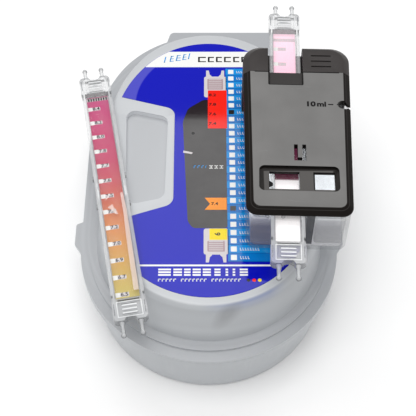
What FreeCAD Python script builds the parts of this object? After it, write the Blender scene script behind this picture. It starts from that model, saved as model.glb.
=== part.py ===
import FreeCAD, Part
import math
import os

# Water test kit: a clamshell case with its tablets inside, and a two-cell colour
# comparator and two colour slides laid on the lid.  Millimetres, +Z up, origin at the
# centre of the case's underside, +Y from the opening side towards the film hinge.

V = FreeCAD.Vector
UP = V(0, 0, 1)

# ---- Case: driving dimensions ----
case_width = 107.4
case_length = 176.6
case_height = 40.8
parting_height = 23.0
parting_gap = 0.1
case_wall = 1.4
rear_taper = 5.2            # the rear curve is this much tighter than half the width
taper_run = 21.1            # length over which the sides draw in to the rear curve
end_trim = 0.9              # rims sit this much further in at the ends than at the sides
foot_side_draft = 5.7
foot_end_draft = 1.2
foot_round = 1.6
rim_overhang = 1.5
rim_height = 2.6
lid_rim_height = 1.4
lid_step_inset = 3.7
lid_step_height = 0.9
lid_foot_inset = 6.9
lid_side_lean = 2.6
lid_end_lean = 5.4
platform_height = 2.4
platform_inset = 1.3
platform_end_inset = 2.5
skirt_gap = 0.3
skirt_depth = 1.8

# ---- Finger pocket and label on the lid ----
pocket_corners = [(-36.4, 27.4), (-17.9, 22.6), (-18.5, -20.9), (-34.4, -24.8)]
pocket_round = 4.0
pocket_depth = 2.2
label_corners = [(-38.0, 34.0), (-15.0, 27.3), (-14.7, -24.2), (-33.0, -30.6)]
label_corner_round = 4.8
label_side_margin = 1.5
label_front_margin = 3.1
label_rear_margin = 4.8
label_thickness = 0.35
label_proud = 0.1
label_gap = 0.1

# ---- Film hinge and opening lugs ----
hinge_reach = 1.7           # the hinge line lies this far behind the rear curve
hinge_left = -18.6
hinge_right = 32.4
hinge_root_flare = 3.6
hinge_root_depth = 12.0
hinge_ledge = 1.4
bead_radius = 0.5
bead_gap = 0.06
film_thickness = 0.35
lug_reach = 2.8
lug_near = -38.0
lug_far = -22.3
lug_slant = 4.5
base_lug_short = 0.8

# ---- Contents of the case ----
tablet_radius = 4.5
tablet_thickness = 3.2
tablet_rows = 10
tablet_pitch = 11.0
foil_thickness = 0.5
foil_gap = 0.3
foil_border = 3.0
foil_columns = [(-32.4, 82.3), (-8.4, 82.3), (27.5, 66.3)]    # (X, distance from the rear)
leaflet_side_margin = 19.7
leaflet_front_margin = 42.3
leaflet_rear_margin = 30.3
leaflet_thickness = 1.2
leaflet_fold = 0.35
rod_radius = 2.2
rod_length = 46.0
rod_foot_radius = 3.6
rod_foot_length = 15.0
rod_place = (3.5, 22.3)    # (X, distance from the front)
rod_turn = 33.0
rest_gap = 0.05

# ---- Comparator, in its own frame: X across, Y towards the cap, Z up from its back ----
tester_place = (36.15, 0.0)
tester_turn = -1.64
tester_near = -46.9
tester_far = 40.5
near_width = 41.2
far_width = 45.6
near_round = 4.6
far_round = 8.0
cover_thickness = 2.7
cover_edge = 0.5
bevel_width = 3.0
cap_split = 24.9
cap_gap = 0.15
chamber_inset = 0.5
chamber_wall = 1.8
diffuser_thickness = 1.2
cell_floor = 1.0
cell_roof = 1.1
fill_volume = 10000.0
fill_mark = 7.2
barrier_margin = 0.45       # from the slide's channel to the barrier
barrier_width = 3.0
barrier_skin = 0.7
fit_gap = 0.05
seal_thickness = 1.0
seal_margin = 1.0
plug_length = 5.0
plug_gap = 0.25
cap_core_wall = 2.4
bezel_left, bezel_right = -15.7, 15.6
bezel_near, bezel_far = -36.9, -24.8
bezel_round = 2.2
bezel_depth = 1.1
left_window = (-11.7, 0.1)
right_window = (5.5, 13.8)
window_near, window_far = -35.4, -27.0
tongue_left, tongue_right = -1.9, 2.9
tongue_near, tongue_far = -22.1, -14.1
tongue_slot = 1.5
notch_panel_start = 17.7
notch_panel_depth = 0.8
mark_tip = 15.9
mark_round = 2.15
mark_centre = 18.6
mark_slot = 1.6
grip_left, grip_right = 6.2, 14.6
grip_start, grip_pitch, grip_count = 28.1, 3.05, 3
grip_width, grip_depth = 0.7, 0.6

# ---- Colour slides ----
slide_width = 13.0
slide_thickness = 4.0
slide_head_width = 13.5
slide_head_length = 9.6
slide_round = 1.6
slide_floor = 1.0
slot_width = 10.4
strip_width = 9.4
strip_thickness = 0.3
lens_gap = 0.05
prong_length = 6.5
prong_spacing = 7.3
prong_radius = 0.8
prong_root_radius = 1.4
prong_tip_radius = 1.1
arch_radius = 2.7
panel_margin = 2.3
panel_depth = 0.9
rib_count, rib_pitch, rib_width, rib_height = 3, 2.1, 0.6, 0.5
clip_reach = 0.6
clip_length = 1.6
clip_places = (-7.2, 7.2)
head_notch = 0.7
test_slide_length = 143.0
test_slide_offset = -4.6
test_slide_shift = -2.9
spare_slide_length = 138.0
spare_slide_place = (-40.4, -19.0)
spare_slide_turn = 10.2
channel_gap = 0.25
rail_height = 0.3
guide_thickness = 0.9


def prism(wire, height):
    """Straight solid on a flat closed wire."""
    return Part.Face(wire).extrude(UP * height)


def box(x0, x1, y0, y1, z0, z1):
    """Box between two corners."""
    return Part.makeBox(x1 - x0, y1 - y0, z1 - z0, V(x0, y0, z0))


def joined(solids):
    """One solid from several that touch or overlap."""
    whole = solids[0].fuse(solids[1:]) if len(solids) > 1 else solids[0]
    return whole.removeSplitter()


def rounded_polygon(points, radius, z):
    """Closed wire with an arc at each corner; radius is one number or one per corner."""
    corners = [V(x, y, z) for x, y in points]
    count = len(corners)
    radii = radius if isinstance(radius, (list, tuple)) else [radius] * count
    starts, middles, ends = [], [], []
    for i, corner in enumerate(corners):
        back = (corners[i - 1] - corner).normalize()
        ahead = (corners[(i + 1) % count] - corner).normalize()
        half_angle = back.getAngle(ahead) / 2
        trim = radii[i] / math.tan(half_angle)
        bisector = (back + ahead).normalize()
        starts.append(corner + back * trim)
        ends.append(corner + ahead * trim)
        middles.append(corner + bisector * (radii[i] / math.sin(half_angle) - radii[i]))
    edges = []
    for i in range(count):
        edges.append(Part.Arc(starts[i], middles[i], ends[i]).toShape())
        edges.append(Part.LineSegment(ends[i], starts[(i + 1) % count]).toShape())
    return Part.Wire(edges)


# ---- Case outlines ----
taper_start = case_length / 2 - (case_width / 2 - rear_taper) - taper_run


def case_outline(z, side_inset, end_inset):
    """Outline of the case: a half-round front, straight sides and a tighter round rear."""
    half = case_width / 2 - side_inset
    front = -case_length / 2 + end_inset
    rear = case_length / 2 - end_inset
    front_centre = front + half
    rear_radius = half - rear_taper
    rear_centre = rear - rear_radius
    run = rear_centre - taper_start
    side_radius = (half ** 2 + run ** 2 - rear_radius ** 2) / (2 * rear_taper)
    side_centre = half - side_radius
    turn = math.atan2(run, -side_centre)
    join = V(rear_radius * math.cos(turn), rear_centre + rear_radius * math.sin(turn), z)
    bulge_x = side_centre + side_radius * math.cos(turn / 2)
    bulge = V(bulge_x, taper_start + side_radius * math.sin(turn / 2), z)

    def left(point):
        return V(-point.x, point.y, z)

    shoulder = V(half, front_centre, z)
    straight_end = V(half, taper_start, z)
    return Part.Wire([
        Part.Arc(left(shoulder), V(0, front, z), shoulder).toShape(),
        Part.LineSegment(shoulder, straight_end).toShape(),
        Part.Arc(straight_end, bulge, join).toShape(),
        Part.Arc(join, V(0, rear, z), left(join)).toShape(),
        Part.Arc(left(join), left(bulge), left(straight_end)).toShape(),
        Part.LineSegment(left(straight_end), left(shoulder)).toShape(),
    ])


def case_loft(sections, inset=0.0):
    """Solid through (z, side inset, end inset) sections, all drawn in by the same inset."""
    wires = [case_outline(z, side + inset, end + inset) for z, side, end in sections]
    return Part.makeLoft(wires, True, True)


def case_ring(z0, z1, side, end):
    """Slab with the case's outline."""
    return prism(case_outline(z0, side, end), z1 - z0)


base_top = parting_height - parting_gap / 2
lid_bottom = parting_height + parting_gap / 2
rim_bottom = base_top - rim_height
lid_rim_top = lid_bottom + lid_rim_height
lid_step_top = lid_rim_top + lid_step_height
mouth_side = rim_overhang + case_wall
mouth_end = rim_overhang * 0.6 + case_wall
platform_foot = case_height - platform_height
lid_foot_end = lid_foot_inset + 2 * end_trim
shoulder_side = lid_foot_inset + lid_side_lean
shoulder_end = lid_foot_end + lid_end_lean
hinge_y = case_length / 2 + hinge_reach
hinge_z = parting_height


def base_sections():
    """Outside of the base, from the rounded foot up to the underside of its rim."""
    side, end = foot_side_draft, foot_end_draft
    return [
        (0.0, side + foot_round, end + foot_round),
        (foot_round * 0.3, side + foot_round * 0.35, end + foot_round * 0.35),
        (foot_round, side, end),
        (rim_bottom, rim_overhang, rim_overhang * 0.6),
    ]


def base_cavity():
    """Inside of the base: tapered up to the rim, straight within the rim."""
    foot = base_sections()[2]
    low = (case_wall, foot[1] + case_wall, foot[2] + case_wall)
    tapered = case_loft([low, (rim_bottom, mouth_side, mouth_end)])
    return tapered.fuse(case_ring(rim_bottom, parting_height + 1, mouth_side, mouth_end))


def lid_sections():
    """Outside of the lid, from its foot on the rim up to the flat platform."""
    mid = (lid_step_top + platform_foot) / 2
    return [
        (lid_step_top, lid_foot_inset, lid_foot_end),
        (mid, lid_foot_inset + lid_side_lean * 0.32, lid_foot_end + lid_end_lean * 0.36),
        (platform_foot, shoulder_side, shoulder_end),
        (platform_foot + platform_height * 0.72, shoulder_side + platform_inset * 0.45,
         shoulder_end + platform_end_inset * 0.5),
        (case_height, shoulder_side + platform_inset, shoulder_end + platform_end_inset),
    ]


def pocket(grow, z0, z1):
    """Prism of the finger pocket, grown sideways by a wall."""
    centre = V(sum(x for x, _ in pocket_corners) / 4, sum(y for _, y in pocket_corners) / 4, 0)
    spread = [(x + math.copysign(grow, x - centre.x), y + math.copysign(grow, y - centre.y))
              for x, y in pocket_corners]
    return prism(rounded_polygon(spread, pocket_round + grow, z0), z1 - z0)


def label_blank(gap, z0, z1):
    """Label sheet: the platform's outline drawn in, notched round the finger pocket."""
    side = shoulder_side + platform_inset + label_side_margin - gap
    end = shoulder_end + platform_end_inset + label_front_margin - gap
    sheet = case_ring(z0, z1, side, end)
    shifted = sheet.translated(V(0, label_front_margin - label_rear_margin, 0))
    sheet = sheet.common(shifted)
    left = -case_width / 2
    notch = [(left, label_corners[0][1] + 5.0)] + label_corners + [(left, label_corners[-1][1] - 6.0)]
    opening = Part.Face(rounded_polygon(notch, label_corner_round, z0))
    if gap:
        opening = opening.makeOffset2D(-gap)
    return sheet.cut(opening.extrude(UP * (z1 - z0)))


# ---- Case pieces ----
def hinge_ledge_plate(reach, z0, z1):
    """Flat ledge behind the rear curve, flared where it leaves the rim."""
    root = case_length / 2 - hinge_root_depth
    tip = hinge_y + reach
    corners = [(hinge_left - hinge_root_flare, root), (hinge_right + hinge_root_flare, root),
               (hinge_right, tip), (hinge_left, tip)]
    ledge = prism(rounded_polygon(corners, [0.5, 0.5, 2.5, 2.5], z0), z1 - z0)
    return ledge.cut(case_ring(z0 - 1, z1 + 1, mouth_side, mouth_end))


def opening_lug(side, reach, z0, z1):
    """Thumb lug on one side of the rim; its near end is slanted."""
    root = case_width / 2 - rim_overhang
    tip = case_width / 2 + reach
    corners = [(side * root, lug_near - lug_slant * 0.5), (side * tip, lug_near + lug_slant),
               (side * tip, lug_far - 1.2), (side * root, lug_far + 0.8)]
    radii = [0.3, 1.2, 1.0, 0.3]
    if side < 0:
        corners.reverse()
        radii.reverse()
    return prism(rounded_polygon(corners, radii, z0), z1 - z0)


def case_base():
    """Lower shell with its rim, lugs and the lower half of the hinge ledge."""
    shell = case_loft(base_sections()).fuse(case_ring(rim_bottom, base_top, 0, 0))
    lug_bottom = base_top - lid_rim_height
    lugs = [opening_lug(side, lug_reach - base_lug_short, lug_bottom, base_top) for side in (-1, 1)]
    shell = joined([shell] + lugs).cut(base_cavity())
    ledge = hinge_ledge_plate(-bead_gap, base_top - hinge_ledge, base_top)
    bead_room = Part.makeCylinder(bead_radius, hinge_right - hinge_left + 20,
                                  V(hinge_left - 10, hinge_y, hinge_z), V(1, 0, 0))
    film_room = box(hinge_left - 1, hinge_right + 1, hinge_y - 3, hinge_y + 1,
                    hinge_z - film_thickness, hinge_z)
    return joined([shell, ledge]).cut(bead_room).cut(film_room)


def hinge_film():
    """The thin web and its bead, on which the lid turns."""
    left, right = hinge_left + 1.2, hinge_right - 1.2
    bead = Part.makeCylinder(bead_radius, right - left, V(left, hinge_y, hinge_z), V(1, 0, 0))
    web = box(left, right, hinge_y - 3, hinge_y, hinge_z - film_thickness, base_top)
    return joined([bead, web])


def case_lid():
    """Upper shell: rim, step, sloping sides, platform with the finger pocket, skirt and hinge ledge."""
    rim = case_ring(lid_bottom, lid_rim_top, 0, 0)
    step = case_ring(lid_rim_top, lid_step_top, lid_step_inset, lid_step_inset + end_trim)
    skirt = case_ring(lid_bottom - skirt_depth, lid_rim_top, mouth_side + skirt_gap, mouth_end + skirt_gap)
    lugs = [opening_lug(side, lug_reach, lid_bottom, lid_rim_top) for side in (-1, 1)]
    shell = joined([rim, step, skirt, case_loft(lid_sections())] + lugs)

    foot, mid, shoulder = lid_sections()[:3]
    hollow = case_loft([(lid_step_top - case_wall, foot[1], foot[2]), mid, shoulder,
                        (case_height - case_wall, shoulder[1] + 0.4, shoulder[2] + 0.8)], case_wall)
    low_side = lid_step_inset + case_wall
    hollow_low = case_ring(lid_bottom - skirt_depth, lid_step_top - case_wall,
                           low_side, low_side + end_trim)
    shell = shell.cut(hollow_low).cut(hollow)

    floor = case_height - pocket_depth - case_wall
    tub = pocket(case_wall, floor, case_height).cut(pocket(0, floor + case_wall, case_height))
    shell = shell.cut(pocket(case_wall / 2, floor, case_height + 1))
    shell = joined([shell, tub])

    ledge = hinge_ledge_plate(0.4, lid_bottom, lid_bottom + hinge_ledge)
    bead_room = Part.makeCylinder(bead_radius + bead_gap, hinge_right - hinge_left + 20,
                                  V(hinge_left - 10, hinge_y, hinge_z), V(1, 0, 0))
    shell = joined([shell, ledge]).cut(bead_room)
    recess = label_thickness - label_proud
    return shell.cut(label_blank(label_gap, case_height - recess, case_height + 1))


def label_insert():
    """Printed sheet in its shallow recess on the platform."""
    bottom = case_height + label_proud - label_thickness
    return label_blank(0, bottom, bottom + label_thickness)


# ---- Contents ----
leaflet_bottom = case_wall + rest_gap
foil_bottom = leaflet_bottom + leaflet_thickness + rest_gap
foil_width = 2 * tablet_pitch
foil_length = tablet_rows / 2 * tablet_pitch + 2 * foil_border


def tablet_centres():
    """Two columns of tablets in a strip, about its centre."""
    rows = tablet_rows // 2
    return [(side * foil_width / 4, (row - (rows - 1) / 2) * tablet_pitch)
            for side in (-1, 1) for row in range(rows)]


def tablet_strip(place):
    """Foil strip with a pillow over each tablet, and the tablets as separate solids."""
    x, y = place[0], case_length / 2 - place[1]
    sheet = box(x - foil_width / 2, x + foil_width / 2, y - foil_length / 2, y + foil_length / 2,
                foil_bottom, foil_bottom + foil_thickness)
    room_radius = tablet_radius + foil_gap
    pillow_radius = room_radius + foil_gap
    pillows, rooms, tablets = [], [], []
    seat = foil_bottom + foil_thickness
    for dx, dy in tablet_centres():
        centre = V(x + dx, y + dy, foil_bottom)
        height = foil_thickness + tablet_thickness + 2 * foil_gap
        pillows.append(Part.makeCone(pillow_radius + foil_gap / 2, pillow_radius, height, centre))
        room = V(x + dx, y + dy, seat)
        rooms.append(Part.makeCylinder(room_radius, tablet_thickness + foil_gap, room))
        tablet = room + UP * (foil_gap / 2)
        tablets.append(Part.makeCylinder(tablet_radius, tablet_thickness - foil_gap / 2, tablet))
    foil = joined([sheet] + pillows)
    for room in rooms:
        foil = foil.cut(room)
    return foil, Part.makeCompound(tablets)


def leaflet():
    """Folded instruction sheet: three leaves joined along one edge."""
    width = case_width - 2 * leaflet_side_margin
    length = case_length - leaflet_front_margin - leaflet_rear_margin
    x0, y0 = -width / 2, -case_length / 2 + leaflet_front_margin
    block = box(x0, x0 + width, y0, y0 + length, leaflet_bottom, leaflet_bottom + leaflet_thickness)
    gap = (leaflet_thickness - 3 * leaflet_fold) / 2
    for leaf in range(1, 3):
        low = leaflet_bottom + leaf * leaflet_fold + (leaf - 1) * gap
        shift = 1.0 if leaf == 1 else -1.0
        block = block.cut(box(x0 + shift, x0 + width + shift, y0 - 1, y0 + length + 1, low, low + gap))
    return block


def stirring_rod():
    """Clear stirring rod and its dark crushing foot, lying across the front of the case."""
    turn = FreeCAD.Rotation(UP, rod_turn - 90)
    height = leaflet_bottom + leaflet_thickness + rest_gap + rod_foot_radius
    place = FreeCAD.Placement(V(rod_place[0], rod_place[1] - case_length / 2, height), turn)
    along = V(0, 1, 0)
    root = V(0, rod_foot_length - 4.0, 0)
    shaft = Part.makeCylinder(rod_radius, rod_length - root.y, root, along)
    shaft = shaft.fuse(Part.makeSphere(rod_radius * 1.35, V(0, rod_length, 0)))
    foot = Part.makeCylinder(rod_foot_radius, rod_foot_length, V(0, 0, 0), along)
    foot = foot.makeFillet(1.2, [edge for edge in foot.Edges if abs(edge.BoundBox.YLength) < 1e-6])
    foot = foot.cut(Part.makeCylinder(rod_radius, rod_length, root, along))
    for solid in (shaft, foot):
        solid.Placement = place
    return shaft.removeSplitter(), foot


# ---- Comparator ----
def half_width(y):
    """Half the comparator's width at a place along it."""
    share = (y - tester_near) / (tester_far - tester_near)
    return (near_width + share * (far_width - near_width)) / 2


def tester_outline(z, inset, near, far, near_corner, far_corner):
    """Tapered outline of the comparator between two places along it."""
    corners = [(-half_width(near) + inset, near), (half_width(near) - inset, near),
               (half_width(far) - inset, far), (-half_width(far) + inset, far)]
    return rounded_polygon(corners, [near_corner, near_corner, far_corner, far_corner], z)


slide_half = slide_width / 2 + clip_reach
channel_left = test_slide_offset - slide_half - channel_gap
channel_right = test_slide_offset + slide_half + channel_gap
barrier_left = channel_right + barrier_margin
barrier_right = barrier_left + barrier_width
right_cell_left = barrier_right + barrier_skin
left_cell_right = barrier_left - barrier_skin
cell_near = tester_near + chamber_inset + chamber_wall
chamber_far = cap_split + cap_gap / 2 - seal_thickness - fit_gap
cell_side = chamber_inset + chamber_wall
mark_length = fill_mark - cell_near
mean_cell_width = (half_width(cell_near) + half_width(fill_mark)) / 2 - cell_side - right_cell_left
cell_depth = fill_volume / (mean_cell_width * mark_length)
cell_bottom = diffuser_thickness + cell_floor
cell_top = cell_bottom + cell_depth
roof_top = cell_top + cell_roof
slide_bottom = roof_top + rail_height + fit_gap
cover_bottom = slide_bottom + slide_thickness + rail_height
cover_top = cover_bottom + cover_thickness


def tester_crown():
    """Bevelled top of the whole comparator, before it is split into cover and cap."""
    steps = [(cover_bottom, 0.0), (cover_bottom + cover_edge, 0.1),
             (cover_top - 0.25, bevel_width - 0.45), (cover_top, bevel_width)]
    wires = [tester_outline(z, inset, tester_near + inset * 0.9, tester_far - inset * 0.9,
                            near_round - inset * 0.6, far_round - inset * 0.6) for z, inset in steps]
    return Part.makeLoft(wires, True, True)


def tester_cover():
    """Black cover: sighting bezel with two windows, spring tongue, fill mark and slide entry."""
    wide = far_width
    near_part = box(-wide, wide, tester_near - 1, cap_split - cap_gap / 2, 0, cover_top + 1)
    cover = tester_crown().common(near_part)
    bezel = [(bezel_left, bezel_near), (bezel_right, bezel_near),
             (bezel_right, bezel_far), (bezel_left, bezel_far)]
    cover = cover.cut(prism(rounded_polygon(bezel, bezel_round, cover_top - bezel_depth), bezel_depth + 1))
    through = (cover_bottom - 1, cover_top + 1)
    for left, right in (left_window, right_window):
        cover = cover.cut(box(left, right, window_near, window_far, *through))
    tongue = box(tongue_left, tongue_right, tongue_near, tongue_far, *through)
    tongue = tongue.cut(box(tongue_left + tongue_slot, tongue_right - tongue_slot,
                            tongue_near + tongue_slot, tongue_far + 1, *through))
    cover = cover.cut(tongue)
    panel = box(channel_left, channel_right, notch_panel_start, cap_split,
                cover_top - notch_panel_depth, cover_top + 1)
    drop = Part.makeCylinder(mark_round, cover_thickness + 2, V(mark_centre, fill_mark, cover_bottom - 1))
    point = [(mark_tip, fill_mark), (mark_centre - 0.4, fill_mark - mark_round),
             (mark_centre - 0.4, fill_mark + mark_round)]
    point = prism(rounded_polygon(point, 0.3, cover_bottom - 1), cover_thickness + 2)
    slot = box(mark_centre, wide, fill_mark - mark_slot / 2, fill_mark + mark_slot / 2, *through)
    return cover.cut(panel).cut(joined([drop, point, slot]))


def cell(left, near, far, gap, z0, z1):
    """Prism of one water cell; the outer side follows the comparator's taper."""
    def outer(y):
        return half_width(y) - cell_side - gap

    if left:
        inner = left_cell_right - gap
        corners = [(-outer(near), near), (inner, near), (inner, far), (-outer(far), far)]
    else:
        inner = right_cell_left + gap
        corners = [(inner, near), (outer(near), near), (outer(far), far), (inner, far)]
    return prism(rounded_polygon(corners, [1.2, 1.2, 0.2, 0.2], z0), z1 - z0)


def tester_chamber():
    """Clear body: two water cells open at the cap end, with the slide's channel over them."""
    outline = tester_outline(0, chamber_inset, tester_near + chamber_inset, chamber_far,
                             near_round - chamber_inset, 0.4)
    top = cover_bottom - fit_gap
    body = prism(outline, top)
    for is_left in (True, False):
        body = body.cut(cell(is_left, cell_near, chamber_far + 3, 0, cell_bottom, cell_top))
    inside = near_round - cell_side
    trough = prism(tester_outline(roof_top, cell_side, cell_near, chamber_far + 3, inside, 0.4),
                   top + 1 - roof_top)
    rails = [box(x, x + 1.0, cell_near - 0.5, chamber_far, roof_top - 0.5, roof_top + rail_height)
             for x in (channel_left + 1.2, channel_right - 2.2)]
    guides = [box(x, x + guide_thickness, cell_near - 0.5, chamber_far, roof_top - 0.5, top)
              for x in (channel_left - guide_thickness, channel_right)]
    body = joined([body.cut(trough)] + rails + guides)
    body = body.cut(box(channel_left, channel_right, tester_near - 1, cell_near + 1,
                        roof_top + rail_height, top + 1))
    slot = box(barrier_left - fit_gap, barrier_right + fit_gap, cell_near, chamber_far + 1,
               diffuser_thickness - 0.1, top + 1)
    recess = prism(tester_outline(-1, cell_side, cell_near, chamber_far - chamber_wall, inside, 0.8),
                   diffuser_thickness + 1)
    return body.cut(slot).cut(recess)


def light_barrier():
    """Black divider that stops light crossing between the cells."""
    return box(barrier_left, barrier_right, cell_near + fit_gap, chamber_far,
               diffuser_thickness + fit_gap, cover_bottom - fit_gap)


def back_diffuser():
    """Opal plate in the back of the clear body."""
    outline = tester_outline(0, cell_side + fit_gap, cell_near + fit_gap,
                             chamber_far - chamber_wall - fit_gap, near_round - cell_side, 0.8)
    return prism(outline, diffuser_thickness)


def plugs(gap):
    """Plugs that close both cells, reaching back into the cap."""
    near, far = chamber_far - plug_length, cap_split + cap_gap / 2 + 0.5
    return [cell(is_left, near, far, gap, cell_bottom + gap, cell_top - gap) for is_left in (True, False)]


def cap_cores():
    """Two hollows in the cap's back that keep its walls even."""
    near, far = cap_split + cap_gap / 2 + cap_core_wall, tester_far - cap_core_wall
    side = half_width(near) - cap_core_wall
    middle = cap_core_wall / 2
    solids = []
    for left, right in ((-side, -middle), (middle, side)):
        corners = [(left, near), (right, near), (right, far), (left, far)]
        radii = [0.5, 0.5, 0.5, 0.5]
        radii[3 if right < 0 else 2] = far_round - cap_core_wall
        solids.append(prism(rounded_polygon(corners, radii, -1), roof_top - cap_core_wall + 1))
    return solids


def chamber_cap():
    """Cap that plugs both cells; its notch lets the slide run over it."""
    wide = far_width
    near = cap_split + cap_gap / 2
    body = prism(tester_outline(0, 0, tester_near, tester_far, near_round, far_round), cover_bottom)
    body = joined([body, tester_crown()])
    body = body.common(box(-wide, wide, near, tester_far + 1, -1, cover_top + 1))
    body = body.cut(box(channel_left, channel_right, near - 1, tester_far + 1,
                        roof_top + rail_height, cover_top + 1))
    for row in range(grip_count):
        y = grip_start + row * grip_pitch
        body = body.cut(box(grip_left, grip_right, y - grip_width / 2, y + grip_width / 2,
                            cover_top - grip_depth, cover_top + 1))
    for core in cap_cores():
        body = body.cut(core)
    return joined([body] + plugs(plug_gap))


def cap_seal():
    """Rubber gasket between the cap and the clear body, round both plugs."""
    near = cap_split + cap_gap / 2 - seal_thickness
    outline = tester_outline(0, seal_margin, tester_near, tester_far, near_round, far_round)
    seal = prism(outline, roof_top - seal_margin)
    seal = seal.common(box(-far_width, far_width, near, near + seal_thickness, seal_margin, roof_top))
    for plug in plugs(plug_gap):
        seal = seal.cut(plug)
    return seal


# ---- Colour slides, in their own frame: X across, Y along, Z up from the back ----
def fork(end, body_half):
    """Two ball-tipped prongs at one end of a slide."""
    pieces = []
    middle = slide_thickness / 2
    for side in (-1, 1):
        root = V(side * prong_spacing / 2, end * (body_half - 1.0), middle)
        along = V(0, end, 0)
        pieces.append(Part.makeCone(prong_root_radius, prong_radius, 3.0, root, along))
        pieces.append(Part.makeCylinder(prong_radius, prong_length + 1.0 - prong_tip_radius, root, along))
        tip = root + along * (prong_length + 1.0 - prong_tip_radius)
        pieces.append(Part.makeSphere(prong_tip_radius, tip))
    return pieces


def slide_tray(length):
    """Clear tray with a grip head and a fork at each end."""
    body_half = length / 2 - prong_length
    half = slide_width / 2
    head = slide_head_width / 2
    outline = [(-half, -body_half), (half, -body_half), (half, body_half), (-half, body_half)]
    tray = prism(rounded_polygon(outline, slide_round, 0), slide_thickness)
    solids = [tray]
    for end in (-1, 1):
        low, high = sorted((end * body_half, end * (body_half - slide_head_length)))
        pad = [(-head, low), (head, low), (head, high), (-head, high)]
        solids.append(prism(rounded_polygon(pad, slide_round, 0.4), slide_thickness - 0.8))
        solids.extend(fork(end, body_half))
    for y in clip_places:
        solids.append(box(-half - clip_reach, half + clip_reach,
                          y - clip_length / 2, y + clip_length / 2, 0.8, 2.8))
    tray = joined(solids)
    slot_half = body_half - slide_head_length
    tray = tray.cut(box(-slot_width / 2, slot_width / 2, -slot_half, slot_half,
                        slide_floor, slide_thickness + 1))
    for end in (-1, 1):
        arch = V(0, end * (body_half + 0.8), -1)
        tray = tray.cut(Part.makeCylinder(arch_radius, slide_thickness + 2, arch))
        low, high = sorted((end * (body_half - panel_margin), end * (body_half - slide_head_length + 0.6)))
        side = slide_width / 2 - panel_margin
        panel_floor = slide_thickness - panel_depth
        panel = box(-side, side, low, high, panel_floor, slide_thickness + 1)
        centre = (low + high) / 2
        for rib in range(rib_count):
            y = centre + (rib - (rib_count - 1) / 2) * rib_pitch
            panel = panel.cut(box(-side + 1.2, side - 1.2, y - rib_width / 2, y + rib_width / 2,
                                  panel_floor - 0.5, panel_floor + rib_height))
        tray = tray.cut(panel)
        for hand in (-1, 1):
            inner, outer = sorted((hand * (half - head_notch), hand * (head + 1)))
            y = end * (body_half - slide_head_length - 1.0)
            tray = tray.cut(box(inner, outer, y - 0.9, y + 0.9, slide_thickness / 2, slide_thickness + 1))
    return tray


def slide_strip(length):
    """Printed colour scale under the lens."""
    half = length / 2 - prong_length - slide_head_length - 0.3
    bottom = slide_floor + lens_gap
    return box(-strip_width / 2, strip_width / 2, -half, half, bottom, bottom + strip_thickness)


def slide_lens(length):
    """Clear bar that closes the tray over the scale."""
    half = length / 2 - prong_length - slide_head_length - 0.15
    bottom = slide_floor + strip_thickness + 2 * lens_gap
    side = slot_width / 2 - lens_gap
    lens = box(-side, side, -half, half, bottom, slide_thickness - lens_gap)
    edges = [edge for edge in lens.Edges
             if edge.BoundBox.ZMin > slide_thickness - 2 * lens_gap and edge.BoundBox.YLength > half]
    return lens.makeChamfer(0.4, edges)


def colour_slide(name, length, place):
    """The three pieces of one colour slide, put in place."""
    pieces = {
        name + "_tray": slide_tray(length),
        name + "_scale": slide_strip(length),
        name + "_lens": slide_lens(length),
    }
    for shape in pieces.values():
        shape.Placement = place.multiply(shape.Placement)
    return pieces


# ---- Assembly ----
lid_surface = case_height + label_proud + rest_gap
tester_frame = FreeCAD.Placement(V(tester_place[0], tester_place[1], lid_surface),
                                 FreeCAD.Rotation(UP, tester_turn))


def tester_pieces():
    """The comparator's pieces in the case's frame."""
    pieces = {
        "tester_cover": tester_cover(),
        "tester_chamber": tester_chamber(),
        "light_barrier": light_barrier(),
        "back_diffuser": back_diffuser(),
        "chamber_cap": chamber_cap(),
        "cap_seal": cap_seal(),
    }
    for shape in pieces.values():
        shape.Placement = tester_frame.multiply(shape.Placement)
    return pieces


def all_pieces():
    """Every node by name."""
    nodes = {
        "case_base": case_base(),
        "hinge_film": hinge_film(),
        "case_lid": case_lid(),
        "label_insert": label_insert(),
    }
    for number, place in enumerate(foil_columns, 1):
        nodes[f"tablet_foil_{number}"], nodes[f"tablets_{number}"] = tablet_strip(place)
    nodes["leaflet"] = leaflet()
    nodes["rod_shaft"], nodes["rod_foot"] = stirring_rod()
    nodes.update(tester_pieces())
    in_channel = FreeCAD.Placement(V(test_slide_offset, test_slide_shift, slide_bottom), FreeCAD.Rotation())
    nodes.update(colour_slide("test_slide", test_slide_length, tester_frame.multiply(in_channel)))
    on_lid = FreeCAD.Placement(V(spare_slide_place[0], spare_slide_place[1], lid_surface),
                               FreeCAD.Rotation(UP, spare_slide_turn))
    nodes.update(colour_slide("spare_slide", spare_slide_length, on_lid))
    return nodes


os.makedirs("parts", exist_ok=True)
for node, shape in all_pieces().items():
    shape.exportStep(f"parts/{node}.step")
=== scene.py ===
import math

import bmesh
import bpy
from mathutils import Matrix, Vector


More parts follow.
